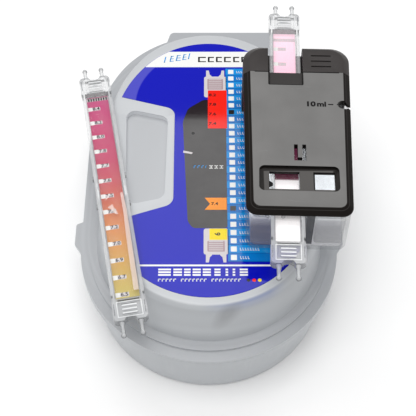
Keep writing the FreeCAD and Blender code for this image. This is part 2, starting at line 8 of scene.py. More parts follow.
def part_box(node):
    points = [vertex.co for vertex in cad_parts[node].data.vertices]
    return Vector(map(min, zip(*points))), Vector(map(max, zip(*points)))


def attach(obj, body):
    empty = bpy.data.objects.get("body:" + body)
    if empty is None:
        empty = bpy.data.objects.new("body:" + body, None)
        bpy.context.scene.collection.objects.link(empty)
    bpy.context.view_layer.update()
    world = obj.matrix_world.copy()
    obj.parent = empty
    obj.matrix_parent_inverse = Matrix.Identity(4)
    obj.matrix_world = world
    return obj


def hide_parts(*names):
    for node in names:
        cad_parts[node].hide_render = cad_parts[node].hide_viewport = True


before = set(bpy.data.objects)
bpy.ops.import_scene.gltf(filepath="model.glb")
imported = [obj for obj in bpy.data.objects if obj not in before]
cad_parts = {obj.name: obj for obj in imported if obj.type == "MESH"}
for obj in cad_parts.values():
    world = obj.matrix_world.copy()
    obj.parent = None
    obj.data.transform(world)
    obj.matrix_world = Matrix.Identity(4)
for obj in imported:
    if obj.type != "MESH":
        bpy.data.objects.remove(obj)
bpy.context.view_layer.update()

# A water test kit: a frosted clamshell case with its printed lid, and on it a two-cell
# comparator and two colour slides.  Metres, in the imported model's frame; the drawing
# helpers take millimetres.

MM = 0.001

FRONT_CENTRE, REAR_CENTRE = -27.2, 30.7       # centres along Y of the lid's and label's round ends
PLATFORM_RADIUS, RIM_RADIUS = 40.0, 56.0      # around those centres
# The rod's place and size below are those of a painted shade patch, where the rod's foot shows through the
# lid's wall.
ROD_PLACE, ROD_TURN = (7.3, -74.0), math.radians(26.4)
ROD_HALF_LENGTH, ROD_HALF_WIDTH = 7.5, 2.6    # of the dim patch where the rod's foot shows
LEVEL_FROM, LEVEL_FULL = 0.80, 0.98           # flatness at which a surface starts and ends turning level
INK_ROUGHNESS, INK_GLOSS = 0.06, 0.22
BEZEL_DEPTH, PANEL_DEPTH = 1.1, 0.8           # below the cover's top
WELD = 2e-6                                   # metres
FACET_ANGLE = math.radians(0.8)
EDGE_ANGLE = math.radians(38)


def mm(*values):
    """A vector given in millimetres."""
    return Vector(values) * MM


def laid(x, y, turn):
    """Where a thing lies on the lid, turned about the vertical."""
    return Matrix.Translation(mm(x, y, 0)) @ Matrix.Rotation(turn, 4, "Z")


TESTER_TURN, SPARE_TURN = math.radians(-1.64), math.radians(10.2)
TESTER = laid(36.15, 0, TESTER_TURN)
TEST_SLIDE = TESTER @ Matrix.Translation(mm(-4.6, -2.9, 0))
SPARE = laid(-40.4, -19.0, SPARE_TURN)


# ---------------------------------------------------------------- materials
class Finish:
    """A node material put together step by step."""

    def __init__(self, name):
        self.material = bpy.data.materials.new(name)
        self.material.use_nodes = True
        self.tree = self.material.node_tree
        self.surface = self.tree.nodes["Principled BSDF"]
        self.place = self.node("ShaderNodeTexCoord").outputs["Object"]

    def feed(self, socket, value):
        """Links a socket, or sets its own value."""
        if isinstance(value, bpy.types.NodeSocket):
            self.tree.links.new(value, socket)
        elif socket.type == "RGBA" and len(value) == 3:
            socket.default_value = (*value, 1)
        else:
            socket.default_value = value

    def node(self, kind, inputs=None, **settings):
        """Adds a node, with settings on itself and values or links on its inputs."""
        made = self.tree.nodes.new(kind)
        for name, value in settings.items():
            setattr(made, name, value)
        for name, value in (inputs or {}).items():
            self.feed(made.inputs[name], value)
        return made

    def set(self, **values):
        """Sets or links the shader's sockets; underscores stand for spaces."""
        for name, value in values.items():
            self.feed(self.surface.inputs[name.replace("_", " ")], value)
        return self

    def noise(self, scale, detail=2.0, stretch=(1, 1, 1), roughness=0.5):
        """Noise over the piece; scale counts features per metre."""
        spot = self.node("ShaderNodeMapping", {"Vector": self.place, "Scale": stretch}).outputs["Vector"]
        return self.node("ShaderNodeTexNoise", {"Vector": spot, "Scale": scale, "Detail": detail,
                                                "Roughness": roughness}).outputs["Fac"]

    def ramp(self, value, stops, smooth=False):
        """Colours along a value: stops are (position, colour)."""
        made = self.node("ShaderNodeValToRGB", {"Fac": value})
        ramp = made.color_ramp
        ramp.interpolation = "EASE" if smooth else "LINEAR"
        while len(ramp.elements) < len(stops):
            ramp.elements.new(0.5)
        for element, (position, colour) in zip(ramp.elements, stops):
            element.position = position
            element.color = (*colour, 1)
        return made.outputs["Color"]

    def spread(self, value, low, high, low_in=0.0, high_in=1.0):
        """Maps a value onto a range."""
        return self.node("ShaderNodeMapRange", {"Value": value, "From Min": low_in, "From Max": high_in,
                                                "To Min": low, "To Max": high}).outputs["Result"]

    def rise(self, value, start, end, top=1.0):
        """0 up to start and top from end on; millimetres."""
        return self.spread(value, 0, top, start * MM, end * MM)

    def fall(self, value, start, end):
        """1 up to start and 0 from end on; millimetres."""
        return self.spread(value, 1, 0, start * MM, end * MM)

    def window(self, value, start, full, last, end):
        """1 between full and last, 0 before start and after end; millimetres."""
        return self.product(self.rise(value, start, full), self.fall(value, last, end))

    def math(self, operation, first, second=0.0):
        """One arithmetic step."""
        made = self.node("ShaderNodeMath", operation=operation)
        for socket, value in zip(made.inputs, (first, second)):
            self.feed(socket, value)
        return made.outputs["Value"]

    def product(self, first, *others):
        """Values multiplied together."""
        for other in others:
            first = self.math("MULTIPLY", first, other)
        return first

    def length(self, first, second):
        """Length of a flat vector."""
        squares = self.math("ADD", self.product(first, first), self.product(second, second))
        return self.math("SQRT", squares)

    def mix(self, share, first, second, blend="MIX"):
        """Mixes two colours."""
        made = self.node("ShaderNodeMix", data_type="RGBA", blend_type=blend)
        for number, value in ((0, share), (6, first), (7, second)):
            self.feed(made.inputs[number], value)
        return made.outputs[2]

    def bump(self, height, distance, strength=1.0):
        """Bump from a height map, its depth in metres."""
        made = self.node("ShaderNodeBump", {"Height": height, "Distance": distance, "Strength": strength})
        return self.set(Normal=made.outputs["Normal"])

    def axis(self, name):
        """One coordinate of the place on the piece."""
        return self.node("ShaderNodeSeparateXYZ", {"Vector": self.place}).outputs[name]

    def flatness(self):
        """How nearly the surface faces straight up or down, 0 to 1."""
        normal = self.node("ShaderNodeTexCoord").outputs["Normal"]
        return self.math("ABSOLUTE", self.node("ShaderNodeSeparateXYZ", {"Vector": normal}).outputs["Z"])

    def level(self):
        """1 where the surface is level, 0 on slopes and walls."""
        return self.spread(self.flatness(), 0, 1, LEVEL_FROM, LEVEL_FULL)


def moulded(name, colour, roughness, grain=900, depth=0.00003, variation=0.12, **sockets):
    """Opaque moulded plastic: fine spark texture, faint colour drift, slightly uneven gloss."""
    finish = Finish(name)
    drift = finish.noise(60, 3)
    fine = finish.noise(grain * 4, 2)
    darker = tuple(c * (1 - variation) for c in colour)
    lighter = tuple(min(1, c * (1 + variation)) for c in colour)
    gloss = finish.spread(finish.noise(grain), roughness - 0.05, roughness + 0.07, 0.3, 0.7)
    finish.set(Base_Color=finish.ramp(drift, [(0.3, darker), (0.7, lighter)]), Roughness=gloss)
    finish.bump(fine, depth, 0.5)
    return finish.set(**sockets)


def frosted(name, wall, flat, roughness, crown_light=None):
    """Translucent moulded plastic: clouded inside, satin outside; level faces painted darker than walls as
    painted shade, faces above a given height painted paler as painted light, and a faint painted glow.
    """
    finish = Finish(name)
    # Painted shade: level faces take the darker flat colour, walls the paler wall colour.
    tone = finish.mix(finish.level(), wall, flat)
    # Painted light: with a height and colour given, faces above that height are painted paler.
    if crown_light:
        height, colour = crown_light
        tone = finish.mix(finish.rise(finish.axis("Z"), height - 0.4, height), tone, colour)
    cloud = finish.spread(finish.noise(35, 4), 0, 0.10, 0.35, 0.70)
    finish.tone = finish.mix(cloud, tone, tuple(c * 0.8 for c in wall))
    # The faint bluish emission is a painted glow.
    finish.set(Base_Color=finish.tone,
               Roughness=finish.spread(finish.noise(600), roughness - 0.04, roughness + 0.05),
               Transmission_Weight=0.12, IOR=1.49,
               Emission_Color=(0.88, 0.93, 1), Emission_Strength=0.07)
    return finish.bump(finish.noise(2500), 0.00001, 0.12)


def slope_share(finish, x, y):
    """How far down the lid's slope a place lies: 0 at the platform's edge, 1 at the rim."""
    past_front = finish.math("MINIMUM", finish.math("SUBTRACT", y, FRONT_CENTRE * MM), 0.0)
    past_rear = finish.math("MAXIMUM", finish.math("SUBTRACT", y, REAR_CENTRE * MM), 0.0)
    radius = finish.length(x, finish.math("ADD", past_front, past_rear))
    return finish.rise(radius, PLATFORM_RADIUS, RIM_RADIUS)


def painted_rod_shade(finish, x, y):
    """Soft oval of painted shade where the rod's dark foot shows through the front wall."""
    across = finish.math("SUBTRACT", x, ROD_PLACE[0] * MM)
    along = finish.math("SUBTRACT", y, ROD_PLACE[1] * MM)
    cosine, sine = math.cos(ROD_TURN), math.sin(ROD_TURN)
    ahead = finish.math("ADD", finish.product(across, cosine), finish.product(along, sine))
    aside = finish.math("SUBTRACT", finish.product(along, cosine), finish.product(across, sine))
    off = finish.length(finish.math("DIVIDE", ahead, ROD_HALF_LENGTH * MM),
                        finish.math("DIVIDE", aside, ROD_HALF_WIDTH * MM))
    return finish.spread(off, 0.5, 0, 0.3, 1.0)


def lid_painted_light(finish):
    """Painted light and shade on the lid: soft light and dark bands along its slope, pocket walls painted
    paler than the pocket floor, a painted bluish reflection of the label, and a painted dim patch where the
    rod's foot shows through the wall.
    """
    x, y, z = finish.axis("X"), finish.axis("Y"), finish.axis("Z")
    share = slope_share(finish, x, y)
    # Painted highlight and shade: soft light and dark bands along the slope.
    bands = finish.ramp(share, [(at, (tone,) * 3) for at, tone in (
        (0.08, 1.0), (0.22, 0.99), (0.27, 1.04), (0.30, 0.97), (0.38, 1.02), (0.42, 0.93),
        (0.52, 0.97), (0.62, 0.95), (0.68, 1.03), (0.74, 0.96), (0.84, 1.04), (0.92, 0.98))], True)
    tone = finish.mix(1.0, finish.tone, bands, "MULTIPLY")
    # Painted light and shade in the finger pocket: walls paler, floor darker.
    pocket = finish.product(finish.window(x, -39, -38, -17, -16), finish.window(y, -28, -27, 29, 30),
                            finish.window(z, 38.0, 38.2, 40.4, 40.6))
    tone = finish.mix(pocket, tone, finish.mix(finish.level(), (0.85, 0.86, 0.88), (0.42, 0.43, 0.445)))
    # Painted reflection: a faint bluish arc of the label on the front slope.
    ring = finish.ramp(share, [(0.26, (0, 0, 0)), (0.33, (1, 1, 1)), (0.38, (0.5, 0.5, 0.5)),
                               (0.47, (0, 0, 0))], True)
    label_reflection = finish.product(ring, finish.fall(y, -66, -56), finish.window(x, -4, 14, 24, 32), 0.75)
    tone = finish.mix(label_reflection, tone, (0.19, 0.24, 0.44))
    # Painted shade: the rod's foot seen dimly through the wall.
    finish.set(Base_Color=finish.mix(painted_rod_shade(finish, x, y), tone, (0.20, 0.20, 0.21)))


def clear(name, face, edge, face_alpha, edge_alpha, roughness=0.07):
    """Clear moulded plastic: thin on its broad faces; walls and rounded edges painted deeper in tone and less
    clear, as painted shade.
    """
    finish = Finish(name)
    # Painted shade: walls and edges take the edge colour and more opacity; a little random haze is added to
    # that share.
    wall = finish.spread(finish.flatness(), 1, 0, 0.35, 0.97)
    haze = finish.noise(250, 4)
    thick = finish.math("ADD", wall, finish.spread(haze, 0, 0.12, 0.4, 0.7))
    finish.set(Base_Color=finish.ramp(thick, [(0.0, face), (1.0, edge)]),
               Alpha=finish.spread(thick, face_alpha, edge_alpha),
               Roughness=finish.spread(haze, roughness * 0.6, roughness * 1.6, 0.35, 0.7),
               Transmission_Weight=0.0, IOR=1.5)
    return finish.bump(finish.noise(120, 2, (1, 0.25, 1)), 0.00001, 0.2)


def ink(name, colour):
    """Printed colour under a glossy laminate, with a faint print grain."""
    finish = Finish(name)
    darker = tuple(c * 0.94 for c in colour)
    finish.set(Base_Color=finish.ramp(finish.noise(6000, 2), [(0.3, darker), (0.7, colour)]),
               Roughness=INK_ROUGHNESS, Specular_IOR_Level=INK_GLOSS)
    return finish.bump(finish.noise(300, 2), 0.00001, 0.08)


def blue_laminate():
    """Deep blue label, with a painted violet reflection along its rear left border."""
    finish = Finish("blue_laminate")
    x, y = finish.axis("X"), finish.axis("Y")
    radius = finish.length(x, finish.math("SUBTRACT", y, REAR_CENTRE * MM))
    # Painted reflection: violet along the rear left border.
    border = finish.product(finish.rise(radius, 32.2, 32.8), finish.fall(x, -21, -16),
                            finish.rise(y, 26, 30, 0.8))
    grain = finish.spread(finish.noise(6000, 2), 0, 0.06, 0.3, 0.7)
    blue = finish.mix(border, (0.003, 0.006, 0.46), (0.10, 0.10, 0.56))
    finish.set(Base_Color=finish.mix(grain, blue, (0.004, 0.004, 0.25)),
               Roughness=INK_ROUGHNESS, Specular_IOR_Level=INK_GLOSS)
    return finish.bump(finish.noise(300, 2), 0.00001, 0.08)


def comparator_print():
    """Black print, painted charcoal with a mottled sheen over its front part as painted light, and almost
    black at its rear end.
    """
    finish = Finish("comparator_print")
    # Painted sheen: the front part is painted lighter than the rear.
    rearward = finish.rise(finish.axis("Y"), 20.5, 24.5)
    mottle_and_sheen = finish.ramp(finish.noise(80, 4), [(0.3, (0.034, 0.031, 0.032)), (0.7, (0.054, 0.051, 0.051))])
    finish.set(Base_Color=finish.mix(rearward, mottle_and_sheen, (0.008, 0.002, 0.005)), Roughness=INK_ROUGHNESS,
               Specular_IOR_Level=0.3)
    return finish.bump(finish.noise(300, 2), 0.00002, 0.3)


def cover_finish():
    """Satin cover: polished black sides and bevels, and a paler fine-textured top with hairline scuffs; the
    top's paleness is partly its own matte finish and partly painted sheen, and the bezel floor and the notch
    panel are painted lighter as painted light.
    """
    finish = Finish("satin_black_cover")
    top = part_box("tester_cover")[1].z / MM
    height = finish.axis("Z")

    def sunk(depth):
        """1 on faces this far below the top."""
        off = finish.math("ABSOLUTE", finish.math("SUBTRACT", height, (top - depth) * MM))
        return finish.fall(off, 0.04, 0.08)

    on_top = finish.rise(height, top - 0.06, top - 0.02)
    in_bezel = finish.product(sunk(BEZEL_DEPTH), finish.window(finish.axis("X"), 21.3, 21.6, 48.5, 48.8),
                              finish.window(finish.axis("Y"), -36.5, -36.2, -26.6, -26.3))
    # The top's pale grey is partly its own matte finish and partly painted sheen.
    face = finish.ramp(finish.noise(45, 4), [(0.25, (0.157, 0.155, 0.152)), (0.75, (0.205, 0.202, 0.198))])
    scuffs = finish.noise(90, 8, (0.3, 3.0, 1), 0.75)
    face = finish.mix(1.0, face, finish.ramp(scuffs, [(0.62, (0, 0, 0)), (0.68, (0.05, 0.05, 0.05))]), "ADD")
    # Painted light: the bezel floor and the notch panel are painted lighter than the black sides.
    dark = finish.mix(in_bezel, (0.010, 0.008, 0.007), (0.085, 0.080, 0.077))
    dark = finish.mix(sunk(PANEL_DEPTH), dark, (0.045, 0.042, 0.041))
    finish.set(Base_Color=finish.mix(on_top, dark, face),
               Roughness=finish.spread(on_top, 0.30, 0.42), Specular_IOR_Level=0.10)
    return finish.bump(finish.noise(5000, 2), 0.00002, 0.4)


def opal_finish():
    """Opal plate, painted bright with a painted glow under the windows, painted duller toward the open front
    of the cells as painted shade, and darker and bluish at the left front as painted shade with a painted
    reflection of the label.
    """
    finish = Finish("opal_diffuser")
    rearward = finish.rise(finish.axis("Y"), -36, -28)
    rightward = finish.rise(finish.axis("X"), 27, 33)
    # Painted shade and reflection: the front is duller, and darker and bluish at the left.
    front = finish.mix(rightward, (0.20, 0.20, 0.30), (0.66, 0.66, 0.68))
    tone = finish.mix(rearward, front, (0.90, 0.92, 0.94))
    cloud = finish.spread(finish.noise(40, 3), 0, 0.08, 0.3, 0.7)
    # The emission is a painted glow, strongest under the windows.
    return finish.set(Base_Color=finish.mix(cloud, tone, (0.5, 0.5, 0.5)), Roughness=0.5,
                      Specular_IOR_Level=0.3, Emission_Color=tone,
                      Emission_Strength=finish.spread(rearward, 0.35, 0.7))


def scale_finish(name, origin, turn, stops, glow=0.0):
    """Graded print along a slide: stops are (distance along in millimetres, colour)."""
    finish = Finish(name)
    across = finish.product(finish.math("SUBTRACT", finish.axis("X"), origin.x), -math.sin(turn))
    ahead = finish.product(finish.math("SUBTRACT", finish.axis("Y"), origin.y), math.cos(turn))
    low, high = stops[0][0], stops[-1][0]
    share = finish.rise(finish.math("ADD", across, ahead), low, high)
    printed = finish.ramp(share, [((at - low) / (high - low), colour) for at, colour in stops])
    grain = finish.noise(5000, 2)
    # The emission is a painted glow on the print.
    finish.set(Base_Color=finish.mix(finish.spread(grain, 0, 0.05), printed, (0.9, 0.9, 0.9)),
               Roughness=0.3, Specular_IOR_Level=0.08, Emission_Color=printed, Emission_Strength=glow)
    return finish.bump(grain, 0.00001, 0.3)


# The second colour of each frosted plastic is painted shade for its level faces; the lid's extra top colour
# is painted light, and the hinge film's paler colours are painted light for light coming through the thin
# film.
case_plastic = frosted("frosted_case", (0.46, 0.475, 0.49), (0.36, 0.37, 0.385), roughness=0.34)
lid_plastic = frosted("frosted_lid", (0.47, 0.485, 0.50), (0.37, 0.38, 0.395), roughness=0.30,
                      crown_light=(40.7, (0.54, 0.555, 0.57)))
lid_painted_light(lid_plastic)
hinge_plastic = frosted("frosted_hinge", (0.60, 0.62, 0.64), (0.52, 0.535, 0.55), roughness=0.32)
cap_black = moulded("satin_black_cap", (0.042, 0.037, 0.036), 0.42, Specular_IOR_Level=0.2)
barrier_black = moulded("barrier_black", (0.012, 0.011, 0.011), 0.5, Specular_IOR_Level=0.1)
# The second colour of each clear plastic is painted shade for its walls and edges.
chamber_clear = clear("smoky_clear_body", (0.50, 0.51, 0.53), (0.24, 0.25, 0.27),
                      face_alpha=0.08, edge_alpha=0.26)
blue_label = blue_laminate()
seal_rubber = moulded("seal_rubber", (0.03, 0.03, 0.03), 0.7)
slide_clear = clear("clear_slide_tray", (0.80, 0.81, 0.82), (0.17, 0.18, 0.19),
                    face_alpha=0.33, edge_alpha=0.66, roughness=0.05)
lens_clear = clear("clear_slide_lens", (0.80, 0.80, 0.80), (0.45, 0.45, 0.46),
                   face_alpha=0.025, edge_alpha=0.35)
paper = moulded("leaflet_paper", (0.82, 0.82, 0.80), 0.8, grain=600, depth=0.00002, variation=0.04)
foil = moulded("strip_foil", (0.62, 0.63, 0.65), 0.32, grain=500, depth=0.00006, variation=0.08, Metallic=1.0)
tablet_white = moulded("tablet_powder", (0.85, 0.84, 0.80), 0.85, grain=1200, depth=0.00004, variation=0.05)
# Painted highlights (pale gleam, white glint) and painted shade (edge shade) for thin pieces laid over the
# slides.
gleam = clear("pale_gleam", (0.95, 0.80, 0.74), (0.95, 0.80, 0.74), face_alpha=0.34, edge_alpha=0.34)
glint = clear("white_glint", (0.96, 0.97, 0.98), (0.96, 0.97, 0.98), face_alpha=0.60, edge_alpha=0.60)
shade = clear("edge_shade", (0.22, 0.23, 0.25), (0.22, 0.23, 0.25), face_alpha=0.6, edge_alpha=0.6)
pale_rose = ink("pale_rose_ink", (0.78, 0.60, 0.66))
rod_clear = clear("clear_rod", (0.60, 0.60, 0.62), (0.30, 0.30, 0.32), face_alpha=0.2, edge_alpha=0.5)
rod_dark = moulded("dark_rod_foot", (0.02, 0.02, 0.022), 0.4)

white_ink = ink("white_ink", (0.90, 0.90, 0.88))
sky_ink = ink("sky_ink", (0.002, 0.19, 0.60))
pale_sky_ink = ink("pale_sky_ink", (0.006, 0.28, 0.72))
black_ink = ink("black_ink", (0.005, 0.005, 0.005))
charcoal_ink = ink("charcoal_ink", (0.055, 0.055, 0.055))
red_ink = ink("red_ink", (0.96, 0.010, 0.001))
orange_ink = ink("orange_ink", (0.95, 0.30, 0.02))
yellow_ink = ink("yellow_ink", (0.92, 0.72, 0.006))
rose_ink = ink("rose_ink", (0.42, 0.30, 0.32))
pearl_ink = ink("pearl_ink", (0.66, 0.62, 0.63))
navy_ink = ink("navy_ink", (0.002, 0.07, 0.36))
mark_black = moulded("mark_black", (0.004, 0.004, 0.004), 0.5, Specular_IOR_Level=0.1)

cover_black = cover_finish()
opal_back = opal_finish()
spare_scale = scale_finish("spare_scale_print", SPARE.translation, SPARE_TURN, [
    (-52.6, (0.42, 0.32, 0.055)), (-51.6, (0.42, 0.32, 0.055)), (-51.3, (0.60, 0.50, 0.13)),
    (-40, (0.62, 0.40, 0.09)), (-28, (0.68, 0.32, 0.08)), (-14, (0.68, 0.22, 0.07)),
    (-4, (0.60, 0.13, 0.08)), (6, (0.56, 0.07, 0.10)), (18, (0.54, 0.032, 0.12)),
    (34, (0.55, 0.032, 0.15)), (52, (0.54, 0.045, 0.19))])
# The test slide's print carries a painted glow.
test_scale = scale_finish("test_scale_print", TEST_SLIDE.translation, TESTER_TURN, [
    (-55.2, (0.88, 0.86, 0.86)), (-54.2, (0.86, 0.84, 0.84)), (-25.0, (0.90, 0.86, 0.87)),
    (-24.5, (0.11, 0.001, 0.03)), (-12, (0.17, 0.003, 0.055)), (10, (0.70, 0.22, 0.40)),
    (30, (0.86, 0.50, 0.62)), (52, (0.88, 0.60, 0.70))], glow=0.3)
comparator_ink = comparator_print()

NODE_FINISHES = {
    "hinge_film": hinge_plastic, "label_insert": blue_label, "leaflet": paper,
    "tablet_foil_1": foil, "tablet_foil_2": foil, "tablet_foil_3": foil,
    "tablets_1": tablet_white, "tablets_2": tablet_white, "tablets_3": tablet_white,
    "rod_shaft": rod_clear, "rod_foot": rod_dark, "light_barrier": barrier_black,
    "back_diffuser": opal_back, "cap_seal": seal_rubber,
    "test_slide_lens": lens_clear, "test_slide_scale": test_scale,
    "spare_slide_lens": lens_clear, "spare_slide_scale": spare_scale,
    "case_base": case_plastic, "case_lid": lid_plastic, "tester_cover": cover_black,
    "tester_chamber": chamber_clear, "chamber_cap": cap_black,
    "test_slide_tray": slide_clear, "spare_slide_tray": slide_clear,
}
for node_name, finish in NODE_FINISHES.items():
    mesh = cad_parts[node_name].data
    mesh.materials.clear()
    mesh.materials.append(finish.material)


# ---------------------------------------------------------------- pieces
def linked(name, data):
    """A new object in the scene."""
    made = bpy.data.objects.new(name, data)
    bpy.context.scene.collection.objects.link(made)
    return made


def raise_top(shape, height):
    """Makes a flat shape a plate of this height."""
    raised = bmesh.ops.extrude_face_region(shape, geom=shape.faces[:])
    tops = [v for v in raised["geom"] if isinstance(v, bmesh.types.BMVert)]
    bmesh.ops.translate(shape, verts=tops, vec=mm(0, 0, height))


def softened(node, body, width, segments=2):
    """A copy of a CAD node with its edges rounded and its curves shaded smooth; it stands for the node."""
    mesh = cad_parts[node].data.copy()
    bm = bmesh.new()
    bm.from_mesh(mesh)
    bmesh.ops.remove_doubles(bm, verts=bm.verts, dist=WELD)
    bmesh.ops.dissolve_limit(bm, angle_limit=FACET_ANGLE, verts=bm.verts, edges=bm.edges)
    for face in bm.faces:
        face.smooth = True
    bm.to_mesh(mesh)
    bm.free()
    piece = linked("soft_" + node, mesh)
    bevel = piece.modifiers.new("rounded_edges", "BEVEL")
    bevel.width = width * MM
    bevel.segments = segments
    bevel.limit_method = "ANGLE"
    bevel.angle_limit = EDGE_ANGLE
    bevel.harden_normals = True
    mesh.set_sharp_from_angle(angle=EDGE_ANGLE)
    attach(piece, body)
    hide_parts(node)


class Build:
    """One mesh piece put together from operator-made shapes, each with its own finish."""

    def __init__(self, name, body, slot, place=None):
        self.name, self.body, self.slot = name, body, slot
        self.place = place or Matrix.Identity(4)
        self.bm = bmesh.new()
        self.finishes = []

    def index(self, finish):
        """Material index of a finish on this piece."""
        if finish not in self.finishes:
            self.finishes.append(finish)
        return self.finishes.index(finish)

    def take(self, shape, finish, smooth=False):
        """Moves a finished shape into the piece."""
        index = self.index(finish)
        bmesh.ops.recalc_face_normals(shape, faces=shape.faces)
        for face in shape.faces:
            face.material_index = index
            face.smooth = smooth
        shape.transform(self.place)
        carrier = bpy.data.meshes.new("carrier")
        shape.to_mesh(carrier)
        shape.free()
        self.bm.from_mesh(carrier)
        bpy.data.meshes.remove(carrier)

    def plate(self, corners, low, high, finish, radius=0.0):
        """A flat plate on a few corners, with its corners rounded; millimetres."""
        shape = bmesh.new()
        face = shape.faces.new([shape.verts.new(mm(x, y, low)) for x, y in corners])
        if radius:
            bmesh.ops.bevel(shape, geom=face.verts[:], offset=radius * MM, affect="VERTICES",
                            segments=4, profile=0.5, material=-1)
        raise_top(shape, high - low)
        self.take(shape, finish)

    def bar(self, x0, x1, y0, y1, low, high, finish, radius=0.0):
        """A rectangular plate between two corners; millimetres, as all these shapes."""
        self.plate([(x0, y0), (x1, y0), (x1, y1), (x0, y1)], low, high, finish, radius)

    def disc(self, x, y, radius, low, high, finish):
        """A round plate."""
        shape = bmesh.new()
        bmesh.ops.create_cone(shape, cap_ends=True, segments=20, radius1=radius * MM,
                              radius2=radius * MM, depth=(high - low) * MM,
                              matrix=Matrix.Translation(mm(x, y, (high + low) / 2)))
        self.take(shape, finish)

    def words(self, body, x, y, size, low, thick, finish, turn=0.0, stretch=1.0, weight=0.0):
        """Figures as flat raised shapes, centred on a point."""
        curve = bpy.data.curves.new("figures", "FONT")
        curve.body, curve.size = body, size * MM
        curve.extrude, curve.offset = thick * MM / 2, weight * MM
        curve.align_x, curve.align_y = "CENTER", "CENTER"
        curve.resolution_u = 3
        carrier = linked("figures", curve)
        flat = bpy.data.meshes.new_from_object(carrier)
        bpy.data.objects.remove(carrier)
        bpy.data.curves.remove(curve)
        shape = bmesh.new()
        shape.from_mesh(flat)
        bpy.data.meshes.remove(flat)
        shape.transform(Matrix.Translation(mm(x, y, low + thick / 2)) @ Matrix.Rotation(turn, 4, "Z")
                        @ Matrix.Diagonal((stretch, 1, 1, 1)))
        bmesh.ops.remove_doubles(shape, verts=shape.verts, dist=1e-7)
        self.take(shape, finish)

    def finish(self):
        """Makes the object, and says what it rides on."""
        mesh = bpy.data.meshes.new(self.name)
        self.bm.to_mesh(mesh)
        self.bm.free()
        for finish in self.finishes:
            mesh.materials.append(finish.material)
        piece = linked(self.name, mesh)
        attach(piece, self.body)


softened("case_base", "case", width=0.35, segments=3)
softened("case_lid", "lid", width=0.40, segments=3)
softened("tester_cover", "tester", width=0.22)
softened("tester_chamber", "tester", width=0.30)
softened("chamber_cap", "cap", width=0.22)
softened("test_slide_tray", "test_slide", width=0.22)
softened("spare_slide_tray", "spare_slide", width=0.22)


# ---------------------------------------------------------------- printed label
label_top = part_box("label_insert")[1].z / MM
INK_SINK, INK_STEP = 0.002, 0.008
ROWS = 26
TABLE_LEFT, TABLE_RIGHT, TABLE_TOP, TABLE_BOTTOM = 7.6, 24.7, 51.2, -52.4
BAND_RADIUS, BAND_FRONT, BAND_REAR = 36.1, 52.2, 61.8
CAPITAL_FOOT, CAPITAL_TOP = 55.3, 58.6


def layer(number):
    """Lowest and highest level of one layer of ink."""
    return label_top - INK_SINK, label_top + number * INK_STEP


def title_band(art):
    """White band across the rear of the label, cut to the label's round end."""
    low, high = layer(1)
    shape = bmesh.new()
    bmesh.ops.create_circle(shape, cap_ends=True, segments=96, radius=BAND_RADIUS * MM,
                            matrix=Matrix.Translation(mm(0, REAR_CENTRE, low)))
    for y, outward in ((BAND_FRONT, -1), (BAND_REAR, 1)):
        bmesh.ops.bisect_plane(shape, geom=shape.verts[:] + shape.edges[:] + shape.faces[:],
                               plane_co=mm(0, y, 0), plane_no=(0, outward, 0), clear_outer=True)
    raise_top(shape, high - low)
    art.take(shape, white_ink)
    low, high = layer(2)
    slanted = ((-20.6, 0.6), (-18.0, 1.9), (-15.2, 2.3), (-12.2, 1.9), (-9.6, 0.6))
    for stroke, (x, width) in enumerate(slanted):
        foot = 55.0 + stroke * 0.55
        top = foot + 3.6
        art.plate([(x, foot), (x + 0.5, foot), (x + 1.1, top), (x + 0.6, top)], low, high, pale_sky_ink)
        for rung in range(3 if width > 1 else 1):
            left, y = x + 0.2 + rung * 0.2, foot + rung * 1.5
            art.plate([(left, y), (x + width, y + 0.2), (x + width, y + 0.6), (left, y + 0.4)],
                      low, high, pale_sky_ink)
    for x, width in ((-4.9, 3.6), (-0.4, 2.8), (3.3, 2.8), (7.0, 3.2), (11.2, 2.8), (14.9, 2.8)):
        art.bar(x, x + 0.8, CAPITAL_FOOT, CAPITAL_TOP, low, high, black_ink)
        art.bar(x, x + width, CAPITAL_TOP - 0.7, CAPITAL_TOP, low, high, black_ink)
        art.bar(x, x + width, CAPITAL_FOOT, CAPITAL_FOOT + 0.6, low, high, black_ink)


def printed_slide_end(art, centre, base, tip, side, clear_of):
    """Printed grip head of a slide with its two prongs; side is +1 where it points to the rear."""
    low, high = layer(2)
    art.bar(centre - 5.0, centre + 5.0, min(base, tip), max(base, tip), low, high, pearl_ink, 1.0)
    for outer in (-1, 1):
        foot, root = centre + outer * 4.1, centre + outer * 1.6
        prong = [(foot, tip), (foot, tip + side * 3.7), (foot - outer * 1.2, tip + side * 3.7),
                 (foot - outer * 1.6, tip + side * 1.2), (root, tip + side * 0.3), (root, tip)]
        art.plate(prong, low, high, pearl_ink)
    low, high = layer(3)
    inner = sorted((clear_of, tip - side * 1.4))
    art.bar(centre - 3.5, centre + 3.5, *inner, low, high, rose_ink, 0.4)
    for row in range(5):
        y = inner[0] + (row + 0.6) * (inner[1] - inner[0]) / 5.2
        art.bar(centre - 2.9, centre + 2.9, y, y + 0.4, *layer(4), pearl_ink)


